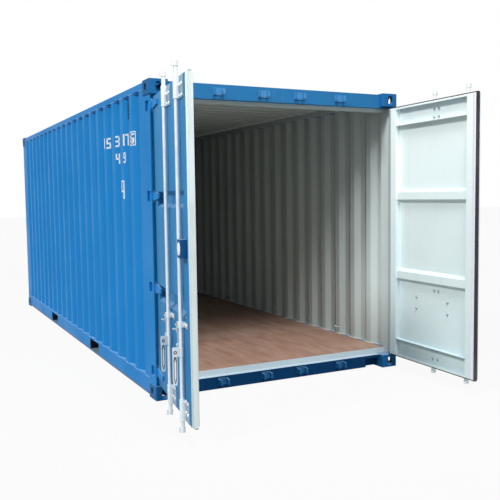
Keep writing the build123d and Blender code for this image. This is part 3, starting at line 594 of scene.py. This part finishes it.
def start_tree(name, sizes):
    tree = bpy.data.node_groups.new(name, "GeometryNodeTree")
    tree.interface.new_socket("Geometry", in_out="INPUT", socket_type="NodeSocketGeometry")
    for size in sizes:
        tree.interface.new_socket(size, in_out="INPUT", socket_type="NodeSocketFloat")
    tree.interface.new_socket("Finish", in_out="INPUT", socket_type="NodeSocketMaterial")
    tree.interface.new_socket("Geometry", in_out="OUTPUT", socket_type="NodeSocketGeometry")
    return tree, add(tree, "NodeGroupInput").outputs


def end_tree(tree, shape, finish):
    whole = add(tree, "GeometryNodeRealizeInstances", {0: shape})
    coated = add(tree, "GeometryNodeSetMaterial", {
        "Geometry": whole.outputs[0], "Material": finish})
    add(tree, "NodeGroupOutput", {0: coated.outputs[0]})


def fastener_tree(name, sides):
    # A head with this many sides on a round washer, at every point, standing along "facing".
    tree, sizes = start_tree(name, ("Head Width", "Head Height", "Washer Width", "Washer Height"))
    parts = []
    for part, part_sides in (("Head", sides), ("Washer", 18)):
        height = sizes[f"{part} Height"]
        radius = add(tree, "ShaderNodeMath", {0: sizes[f"{part} Width"], 1: 0.5},
                     operation="MULTIPLY")
        cylinder = add(tree, "GeometryNodeMeshCylinder", {
            "Vertices": part_sides, "Radius": radius.outputs[0], "Depth": height})
        lift = add(tree, "ShaderNodeMath", {0: height, 1: 0.5}, operation="MULTIPLY")
        offset = add(tree, "ShaderNodeCombineXYZ", {"Z": lift.outputs[0]})
        parts.append(add(tree, "GeometryNodeTransform", {
            "Geometry": cylinder.outputs["Mesh"], "Translation": offset.outputs[0]}).outputs[0])
    joined = add(tree, "GeometryNodeJoinGeometry", {0: parts[0]})
    tree.links.new(parts[1], joined.inputs[0])
    facing_data = add(tree, "GeometryNodeInputNamedAttribute", {"Name": "facing"},
                      data_type="FLOAT_VECTOR")
    turned = add(tree, "FunctionNodeAlignRotationToVector", {
        "Vector": facing_data.outputs["Attribute"]}, axis="Z")
    placed = add(tree, "GeometryNodeInstanceOnPoints", {
        "Points": sizes["Geometry"], "Instance": joined.outputs[0],
        "Rotation": turned.outputs["Rotation"]})
    end_tree(tree, placed.outputs[0], sizes["Finish"])
    return tree


def weld_tree():
    # A fillet bead along each line of edges, rippled as a hand laid run is.
    tree, sizes = start_tree("weld_bead", ("Bead Width", "Ripple Pitch", "Ripple Depth"))
    line = add(tree, "GeometryNodeMeshToCurve", {"Mesh": sizes["Geometry"]})
    stepped = add(tree, "GeometryNodeResampleCurve", {
        "Curve": line.outputs[0], "Length": sizes["Ripple Pitch"]}, mode="LENGTH")
    radius = add(tree, "ShaderNodeMath", {0: sizes["Bead Width"], 1: 0.5}, operation="MULTIPLY")
    section = add(tree, "GeometryNodeCurvePrimitiveCircle", {
        "Resolution": 6, "Radius": radius.outputs[0]})
    bead = add(tree, "GeometryNodeCurveToMesh", {
        "Curve": stepped.outputs[0], "Profile Curve": section.outputs[0], "Fill Caps": True})
    ripple = add(tree, "ShaderNodeTexNoise", {"Scale": per_metre(14), "Detail": 1.0})
    centred = add(tree, "ShaderNodeMath", {0: ripple.outputs["Fac"], 1: 0.5}, operation="SUBTRACT")
    depth = add(tree, "ShaderNodeMath", {0: centred.outputs[0], 1: sizes["Ripple Depth"]},
                operation="MULTIPLY")
    outward = add(tree, "GeometryNodeInputNormal")
    shift = add(tree, "ShaderNodeVectorMath", {
        0: outward.outputs[0], "Scale": depth.outputs[0]}, operation="SCALE")
    moved = add(tree, "GeometryNodeSetPosition", {
        "Geometry": bead.outputs[0], "Offset": shift.outputs["Vector"]})
    end_tree(tree, moved.outputs[0], sizes["Finish"])
    return tree


def grown(name, tree, seeds, finish, body, slot, **sizes):
    # Runs a tree on its seeds and keeps the result as a plain mesh that rides on the body.
    source = bpy.data.objects.new(name + "_seeds", seeds)
    bpy.context.scene.collection.objects.link(source)
    modifier = source.modifiers.new(name, "NODES")
    modifier.node_group = tree
    values = dict(sizes, finish=finish)
    for item in tree.interface.items_tree:
        key = item.name.lower().replace(" ", "_")
        if item.in_out == "INPUT" and key in values:
            modifier[item.identifier] = values[key]
    evaluated = source.evaluated_get(bpy.context.evaluated_depsgraph_get())
    mesh = bpy.data.meshes.new_from_object(evaluated)
    mesh.name = name
    source.modifiers.remove(modifier)
    bpy.data.objects.remove(source)
    finish_piece(name, mesh, body, finish)


def wall_depth(x):
    # How far the side wall's sheet lies behind its outer flats at this place along it.
    if abs(x) > FOLD_COUNT * SIDE_PITCH / 2:
        return 0.0
    within = (x + FOLD_COUNT * SIDE_PITCH / 2) % SIDE_PITCH - SIDE_PITCH / 2
    share = (FOLD_FLOOR_HALF + SIDE_SLOPE - abs(within)) / SIDE_SLOPE
    return SIDE_DEPTH * min(max(share, 0.0), 1.0)


def wall_folds():
    folds = [-WALL_HALF, WALL_HALF]
    for index in range(FOLD_COUNT):
        centre = (index - (FOLD_COUNT - 1) / 2) * SIDE_PITCH
        for reach in (FOLD_FLOOR_HALF, FOLD_FLOOR_HALF + SIDE_SLOPE):
            folds += [centre - reach, centre + reach]
    return sorted(folds)


def floor_boards():
    # Boards cut from the floor's own outline, each with a tone unlike its neighbours'.
    low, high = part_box("floor")
    ends = [low.x, *BOARD_JOINTS, high.x]
    half_gap = BOARD_GAP / 2
    whole = bmesh.new()
    for row, (low_y, high_y) in enumerate(((low.y, 0.0), (0.0, high.y))):
        for step, (low_x, high_x) in enumerate(zip(ends, ends[1:])):
            board = bmesh.new()
            board.from_mesh(frame["nodes"]["floor"].data)
            bmesh.ops.remove_doubles(board, verts=board.verts, dist=0.01 * MM)
            for spot, direction in (((low_x + half_gap, 0, 0), (-1, 0, 0)),
                                    ((high_x - half_gap, 0, 0), (1, 0, 0)),
                                    ((0, low_y + half_gap, 0), (0, -1, 0)),
                                    ((0, high_y - half_gap, 0), (0, 1, 0))):
                cut = bmesh.ops.bisect_plane(
                    board, geom=board.verts[:] + board.edges[:] + board.faces[:],
                    plane_co=spot, plane_no=direction, clear_outer=True)
                edges = [item for item in cut["geom_cut"] if isinstance(item, bmesh.types.BMEdge)]
                if edges:
                    bmesh.ops.edgeloop_fill(board, edges=edges)
            tone = board.verts.layers.float.new("board")
            for vertex in board.verts:
                vertex[tone] = ((row * 3 + step * 2) * 0.37 + 0.2) % 1.0
            part = bpy.data.meshes.new("board")
            board.to_mesh(part)
            board.free()
            whole.from_mesh(part)
            bpy.data.meshes.remove(part)
    piece = finish_piece("floor_boards", mesh_of(whole, "floor_boards"), "container",
                         floor_plywood())
    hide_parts("floor")


def floor_screws():
    # Rows of screws over the cross members, sunk half a millimetre.
    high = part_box("floor")[1]
    door_row, row_pitch, row_count, sunk = 2.70, 0.30, 19, 0.5 * MM
    width_shares = (0.03, 0.18, 0.34, 0.50, 0.66, 0.82, 0.97)
    spots = [(Vector((door_row - row_pitch * row, hand * share * high.y, high.z - sunk)),
              (0, 0, 1))
             for row in range(row_count) for hand in (-1, 1) for share in width_shares]
    grown("floor_screws", ROUND_HEAD, points_mesh("floor_screws", spots), worn_steel, "container",
          "galvanised_steel", head_width=11 * MM, head_height=1.0 * MM,
          washer_width=12 * MM, washer_height=0.7 * MM)


def leaf_fasteners(side):
    # Bolts through the rod plates, the guides and the handle retainers, with nuts inside.
    door = doors[side]
    web, panel = LEAF_OUTER - MEMBER_WALL, LEAF_OUTER - PANEL_SHEET
    plate_levels = (LEAF_TOP - 62 * MM, LEAF_TOP - 135 * MM,
                    LEAF_BOTTOM + 64 * MM, LEAF_BOTTOM + 139 * MM)
    plate_offsets, guide_offsets = (35 * MM, 95 * MM), (45 * MM, 100 * MM)
    guide_level, retainer_levels = 805 * MM, (720 * MM, 619 * MM)
    heads, nuts = [], []
    for rod in ROD_PLACES.values():
        spots = [(rod + offset, web, level) for offset in plate_offsets for level in plate_levels]
        spots += [(rod + offset, panel, guide_level) for offset in guide_offsets]
        spots += [(rod - RETAINER_BACK, panel, level) for level in retainer_levels]
        for along, inner, level in spots:
            heads.append((on_leaf(door, along, PLATE_FACE, level), door["out"]))
            nuts.append((on_leaf(door, along, inner, level), -door["out"]))
    grown(f"{side}_door_bolt_heads", ROUND_HEAD, points_mesh("heads", heads), bright_zinc,
          f"{side}_door", "galvanised_steel", head_width=22 * MM, head_height=9 * MM,
          washer_width=26 * MM, washer_height=3 * MM)
    grown(f"{side}_door_bolt_nuts", HEX_HEAD, points_mesh("nuts", nuts), pale_nut,
          f"{side}_door", "galvanised_steel", head_width=19 * MM, head_height=15 * MM,
          washer_width=24 * MM, washer_height=2 * MM)


def leaf_retainer_catches(side):
    # A pivoting catch with a lip above each stowed handle, and its rivet.
    door = doors[side]
    shape = bmesh.new()
    rivets = []
    catch_face, rivet_level = PLATE_FACE + 6 * MM, 764 * MM
    lip_half, lip_reach, lip_low, lip_high = 19 * MM, 28 * MM, 730 * MM, 736 * MM
    for rod in ROD_PLACES.values():
        centre = rod - RETAINER_BACK
        prism_between(shape, *[[on_leaf(door, centre + x * MM, out, z * MM)
                                for x, z in CATCH_OUTLINE] for out in (PLATE_FACE, catch_face)])
        box_on_leaf(shape, door, (centre - lip_half, catch_face, lip_low),
                    (centre + lip_half, catch_face + lip_reach, lip_high))
        rivets.append((on_leaf(door, centre, catch_face, rivet_level), door["out"]))
    finish_piece(f"{side}_door_handle_catches", mesh_of(shape, "catches"), f"{side}_door", zinc)
    # A dark disc under each rivet is painted shade of a hole round it.
    grown(f"{side}_door_catch_bushings", ROUND_DISC, points_mesh("bushings", rivets), dark_steel_and_shade,
          f"{side}_door", "galvanised_steel", head_width=28 * MM, head_height=1.5 * MM,
          washer_width=30 * MM, washer_height=0.8 * MM)
    grown(f"{side}_door_catch_rivets", ROUND_HEAD, points_mesh("rivets", rivets), bright_zinc,
          f"{side}_door", "galvanised_steel", head_width=13 * MM, head_height=8 * MM,
          washer_width=16 * MM, washer_height=3 * MM)


def handle_details(side, place):
    # Pin heads on the clevis, and the pressed lozenge of the grip on both flats of its handle.
    door = doors[side]
    along = ROD_PLACES[place]
    body, rod = f"{side}_{place}_handle", f"{side}_{place}_rod"
    taper = 34 * MM
    # The grip_shadow sheet is wider than the lozenge and dark: painted shadow round its rim.
    for name, half, low, high, thick, finish in (
            ("grip_shadow", 11 * MM, 394 * MM, 592 * MM, 0.6 * MM, dark_steel_and_shade),
            ("grip_lozenge", 6.5 * MM, 406 * MM, 572 * MM, 1.4 * MM, bright_zinc)):
        shape = bmesh.new()
        shoulder_high, shoulder_low = high - taper, low + taper
        outline = ((0, high), (half, shoulder_high), (half, shoulder_low),
                   (0, low), (-half, shoulder_low), (-half, shoulder_high))
        for hand in (-1, 1):
            prism_between(shape, *[[on_leaf(door, along + hand * reach, HANDLE_OUT + x, z)
                                    for x, z in outline]
                                   for reach in (HANDLE_FLAT, HANDLE_FLAT + thick)])
        finish_piece(f"{body}_{name}", mesh_of(shape, "grips"), body, finish)
    pins = [(on_leaf(door, along + hand * CLEVIS_CHEEK, HANDLE_OUT, HANDLE_LEVEL),
             hand * door["along"]) for hand in (-1, 1)]
    grown(f"{rod}_pin_washers", ROUND_DISC, points_mesh("washers", pins), dark_steel_and_shade, rod,
          "galvanised_steel", head_width=20 * MM, head_height=1.2 * MM,
          washer_width=24 * MM, washer_height=0.8 * MM)
    grown(f"{rod}_pin_heads", ROUND_HEAD, points_mesh("pins", pins), bright_zinc, rod,
          "galvanised_steel", head_width=10 * MM, head_height=2.5 * MM,
          washer_width=11 * MM, washer_height=1.2 * MM)


def seal_strips(side):
    # Flat retaining strips up both edges of the inner face, riveted over the gasket's foot.
    door = doors[side]
    margin, wide, thick, count = 4 * MM, 22 * MM, 3 * MM, 14
    low_z, high_z = LEAF_BOTTOM + margin, LEAF_TOP - margin
    for name, start, finish in (
            ("seal_strips", LEAF_END - margin - wide, strip_paint),
            ("hinge_strips", LEAF_START + margin, hinge_strip_paint)):
        shape = bmesh.new()
        box_on_leaf(shape, door, (start, LEAF_INNER - thick, low_z),
                    (start + wide, LEAF_INNER, high_z))
        finish_piece(f"{side}_door_{name}", mesh_of(shape, "strips"), f"{side}_door", finish)
    rivets = [(on_leaf(door, LEAF_END - margin - wide / 2, LEAF_INNER - thick,
                       low_z + (index + 0.5) * (high_z - low_z) / count), -door["out"])
              for index in range(count)]
    grown(f"{side}_door_seal_rivets", ROUND_HEAD, points_mesh("rivets", rivets), strip_paint,
          f"{side}_door", "pale_paint", head_width=9 * MM, head_height=1.5 * MM,
          washer_width=10 * MM, washer_height=0.5 * MM)


def corner_lips(side):
    # Moulded lips of the gasket along the foot and the head of the leaf.
    door = doors[side]
    shape = bmesh.new()
    foot_lip, head_lip, shift, steps = 13 * MM, 12 * MM, 6 * MM, 8
    centre, half_depth = LEAF_INNER + 20 * MM, 17 * MM
    turns = [2 * pi * index / steps for index in range(steps)]
    for low, high in ((LEAF_BOTTOM - foot_lip, LEAF_BOTTOM), (LEAF_TOP, LEAF_TOP + head_lip)):
        prism_between(shape, *[[on_leaf(door, along, centre + half_depth * cos(turn),
                                        (low + high) / 2 + (high - low) / 2 * sin(turn))
                                for turn in turns]
                               for along in (LEAF_START + shift, LEAF_END + shift)])
    finish_piece(f"{side}_door_corner_lips", mesh_of(shape, "lips", smooth=True), f"{side}_door",
                 dark_rubber)


def wall_sealant(side, hand):
    # Gun-applied sealant where a side wall meets the floor, inside.
    inset = 7 * MM
    line = [(x, hand * (SIDE_FACE - wall_depth(x) - WALL_SHEET - inset), FLOOR_TOP)
            for x in wall_folds()]
    mesh = bpy.data.meshes.new("sealant")
    mesh.from_pydata(line, [(index, index + 1) for index in range(len(line) - 1)], [])
    grown(f"{side}_wall_sealant", WELD, mesh, sealant, "container", "pale_paint",
          bead_width=11 * MM, ripple_pitch=24 * MM, ripple_depth=3 * MM)


def lock_box_disc():
    # The white disc on the outer face of the lock box.
    door = doors["left"]
    along, box_depth, level = 1102 * MM, 46 * MM, 1315 * MM
    spot = on_leaf(door, along, LEAF_OUTER + box_depth, level)
    grown("left_door_lock_box_disc", ROUND_DISC, points_mesh("disc", [(spot, door["out"])]),
          white_disc, "left_door", "pale_paint", head_width=88 * MM, head_height=1.5 * MM,
          washer_width=84 * MM, washer_height=0.8 * MM)


def wall_welds(side, hand):
    # Beads along the foot and head of a side wall, following the folds.
    lines, edges, proud = [], [], 1 * MM
    for level in (WALL_LOW, WALL_HIGH):
        first = len(lines)
        lines += [(x, hand * (SIDE_FACE - wall_depth(x) + proud), level) for x in wall_folds()]
        edges += [(index, index + 1) for index in range(first, len(lines) - 1)]
    mesh = bpy.data.meshes.new("welds")
    mesh.from_pydata(lines, edges, [])
    # The beads' pale blue is a painted highlight of the light caught along the wall's foot and
    # head.
    grown(f"{side}_wall_welds", WELD, mesh, highlit_weld, "container", "blue_paint",
          bead_width=7 * MM, ripple_pitch=16 * MM, ripple_depth=2.5 * MM)


def numbers_on_wall():
    # Plain numbers cut from white film in straight bars, pressed over the folds of the left wall.
    shape = bmesh.new()
    stroke_high, film_lift = 15 * MM, 0.8 * MM
    # The frame round one digit, and a plain box with a bar below it: left, right, low, high
    bars = [(2.476, 2.484, 2.098, 2.218), (2.568, 2.576, 2.098, 2.218),
            (2.484, 2.568, 2.210, 2.218), (2.484, 2.568, 2.098, 2.106),
            (2.190, 2.208, 1.705, 1.809), (2.246, 2.266, 1.705, 1.809),
            (2.208, 2.246, 1.797, 1.809), (2.208, 2.246, 1.705, 1.717),
            (2.240, 2.266, 1.645, 1.705)]
    for digit, left, right, low, tall in (
            ("1", 1.650, 1.672, 2.126, 0.100), ("5", 1.712, 1.768, 2.124, 0.100),
            ("3", 2.000, 2.050, 2.121, 0.100), ("1", 2.264, 2.280, 2.115, 0.102),
            ("7", 2.292, 2.328, 2.114, 0.102), ("6", 2.492, 2.560, 2.113, 0.088),
            ("4", 2.000, 2.050, 1.967, 0.092), ("9", 2.264, 2.290, 1.964, 0.092)):
        stroke = 0.30 * (right - left) if digit != "1" else right - left
        top, middle = low + tall, low + tall / 2
        segments = {
            "top": (left, right, top - stroke_high, top),
            "middle": (left, right, middle - stroke_high / 2, middle + stroke_high / 2),
            "bottom": (left, right, low, low + stroke_high),
            "upper_left": (left, left + stroke, middle, top),
            "lower_left": (left, left + stroke, low, middle),
            "upper_right": (right - stroke, right, middle, top),
            "lower_right": (right - stroke, right, low, middle)}
        bars += [segments[part] for part in DIGIT_BARS[digit]]
    for low_x, high_x, low_z, high_z in bars:
        corners = [shape.verts.new((x, 0, z)) for x, z in (
            (low_x, low_z), (high_x, low_z), (high_x, high_z), (low_x, high_z))]
        shape.faces.new(corners)
    for fold in wall_folds():
        bmesh.ops.bisect_plane(shape, geom=shape.verts[:] + shape.edges[:] + shape.faces[:],
                               plane_co=(fold, 0, 0), plane_no=(1, 0, 0))
    for vertex in shape.verts:
        vertex.co.y = -(SIDE_FACE - wall_depth(vertex.co.x) + film_lift)
    for face in shape.faces:
        face.normal_update()
        if face.normal.y > 0:
            face.normal_flip()
    mesh = bpy.data.meshes.new("wall_numbers")
    shape.to_mesh(mesh)
    shape.free()
    finish_piece("wall_numbers", mesh, "container", white_film)


doors = {side: door_frame_of(side) for side in ("left", "right")}

# Finishes
blue = sprayed_topcoat("sprayed_blue_topcoat", TOPCOAT_BLUE, rust=0.5)
wall_paint = sprayed_topcoat("blue_outside_pale_inside_walls", TOPCOAT_BLUE, INSIDE_PALE,
                             facing_middle)
front_paint = sprayed_topcoat("blue_outside_pale_inside_front", TOPCOAT_BLUE, INSIDE_PALE,
                              facing((1, 0, 0)))
roof_paint = sprayed_topcoat("blue_outside_pale_inside_roof", TOPCOAT_BLUE, INSIDE_PALE,
                             facing((0, 0, -1)))
post_paint = sprayed_topcoat("blue_outside_pale_inside_posts", TOPCOAT_BLUE, INSIDE_PALE,
                             inside_post)
# The header's blue is darker than the walls': painted shade of its face, which looks along the
# container.
header_paint = sprayed_topcoat("blue_face_pale_seal_face_header", HEADER_BLUE, INSIDE_PALE,
                               past_level(HEADER_STEP, "LESS_THAN"))
# The sill's near-black blue is painted shade of its low face, which gets less light.
sill_paint = sprayed_topcoat("blue_face_pale_threshold_sill", SILL_BLUE, THRESHOLD_PALE,
                             past_level(THRESHOLD_LOW, "GREATER_THAN"), rust=0.8,
                             painted_shade_where=open_recess)
# The header keepers' blue is lighter than the header's: a painted highlight of the light from above
# on them.
keeper_blue = sprayed_topcoat("worn_topcoat_on_forged_keepers", KEEPER_BLUE, grime=0.3)
# The castings' blue is darker than the walls': painted shade on their faces.
casting_blue = sprayed_topcoat("topcoat_on_cast_steel", CASTING_BLUE, rust=0.6, grime=0.2)
lock_blue = sprayed_topcoat("sprayed_blue_topcoat_lock_box", LOCK_BLUE)
# The ventilators' darker blue is painted shade of their louvres.
vent_blue = sprayed_topcoat("sprayed_blue_topcoat_ventilators", VENT_BLUE)
low_rail_paint = sprayed_topcoat("blue_outside_pale_inside_bottom_rails", TOPCOAT_BLUE, INSIDE_PALE,
                                 inside_rail, rust=0.5, mud=0.7)
high_rail_paint = sprayed_topcoat("blue_outside_pale_inside_top_rails", TOPCOAT_BLUE, INSIDE_PALE,
                                  inside_rail)
sill_blue = sprayed_topcoat("sprayed_blue_topcoat_sill", SILL_KEEPER_BLUE, rust=0.8)
pale = sprayed_topcoat("sprayed_pale_inside_coat", INSIDE_PALE)
underframe = sprayed_topcoat("bituminous_underframe_coat", UNDERFRAME_BLACK, grime=0.5,
                             roughness=0.7)
zinc = galvanised("hot_dip_galvanised_bar", ZINC_PALE, ZINC_DARK)
dark_rubber = gasket_rubber("extruded_epdm_gasket", GASKET_DARK)
pale_rubber = gasket_rubber("oversprayed_epdm_gasket", GASKET_PALE)
bright_zinc = galvanised("bright_plated_bolt", BOLT_PALE, BOLT_DARK, roughness=0.35)
worn_steel = galvanised("worn_steel_screw", SCREW_PALE, SCREW_DARK, roughness=0.5)
highlit_weld = plain_coat("dust_caught_on_painted_weld", WELD_HIGHLIGHT_BLUE, 0.6)
hinge_strip_paint = plain_coat("painted_steel_hinge_strip", HINGE_STRIP_GREY, 0.5)
dark_steel_and_shade = plain_coat("oiled_black_steel", OILED_BLACK_AND_SHADE, 0.5)
# The nuts are overpainted pale, and set darker than the leaf's pale coat as painted shade.
pale_nut = plain_coat("overpainted_steel_nut", NUT_SHADED_GREY, 0.5)
strip_paint = plain_coat("painted_retaining_strip", STRIP_PALE, 0.45)
white_disc = plain_coat("white_plastic_disc", DISC_WHITE, 0.4)
white_film = plain_coat("white_vinyl_film", MARKING_WHITE, 0.45, wear=0.3)
sealant = plain_coat("gunned_joint_sealant", SEALANT_PALE, 0.55)

give(casting_blue, "bottom_corner_castings", "top_corner_castings")
give(blue, "left_door_hinges", "right_door_hinges")
give(lock_blue, "left_door_lock_box")
give(vent_blue, "ventilators")
give(wall_paint, "left_side_wall", "right_side_wall", "left_front_post", "right_front_post")
give(high_rail_paint, "top_side_rails")
give(low_rail_paint, "left_bottom_side_rail", "right_bottom_side_rail")
give(front_paint, "front_wall", "front_top_rail", "front_bottom_rail")
give(post_paint, "left_door_post", "right_door_post")
give(roof_paint, "roof")
give(header_paint, "door_header")
give(sill_paint, "door_sill")
give(keeper_blue, "header_keepers")
give(sill_blue, "sill_keepers")
give(underframe, "cross_members", "fork_pockets")
give(pale, "lashing_rings")
for side, door in doors.items():
    leaf_paint = sprayed_topcoat(f"blue_outside_pale_inside_{side}_leaf", LEAF_BLUE, LEAF_PALE,
                                 behind_outer_face(door), low_shade=0.8)
    give(leaf_paint, f"{side}_door_frame", f"{side}_door_panel")
    give(galvanised(f"oversprayed_zinc_brackets_{side}", ZINC_PALE, ZINC_DARK, plate_of=door),
         f"{side}_door_rod_brackets", f"{side}_door_handle_retainers")
    for place in ROD_PLACES:
        give(zinc, f"{side}_{place}_rod", f"{side}_{place}_handle")
give(pale_rubber, "left_door_seal")
give(dark_rubber, "right_door_seal")

HEX_HEAD = fastener_tree("hex_fastener", 6)
ROUND_HEAD = fastener_tree("round_fastener", 14)
ROUND_DISC = fastener_tree("round_disc", 28)
WELD = weld_tree()

floor_boards()
floor_screws()
for side in doors:
    leaf_fasteners(side)
    leaf_retainer_catches(side)
    for place in ROD_PLACES:
        handle_details(side, place)
    seal_strips(side)
    corner_lips(side)
lock_box_disc()
for run_of_beads in (wall_welds, wall_sealant):
    for side, hand in (("left", -1), ("right", 1)):
        run_of_beads(side, hand)
numbers_on_wall()

# Stage, light and camera
reach = 60
stage_mesh = bpy.data.meshes.new("studio_floor")
stage_mesh.from_pydata(
    [(-reach, -reach, 0), (reach, -reach, 0), (reach, reach, 0), (-reach, reach, 0)],
    [], [(0, 1, 2, 3)])
stage_mesh.materials.append(stage_floor())
stage = bpy.data.objects.new("studio_floor", stage_mesh)
bpy.context.scene.collection.objects.link(stage)
light_world()
add_light("window_light", "SUN", (2.4, -10, 8.5), (0, 0, 0), 2.2, angle=radians(11))
add_light("door_light", "AREA", (6.6, -0.8, 7.4), (2.6, 0, 0.2), 112, shape="DISK",
          size=3.0, spread=radians(75))
photo_camera()
bpy.context.scene.view_settings.view_transform = "Standard"
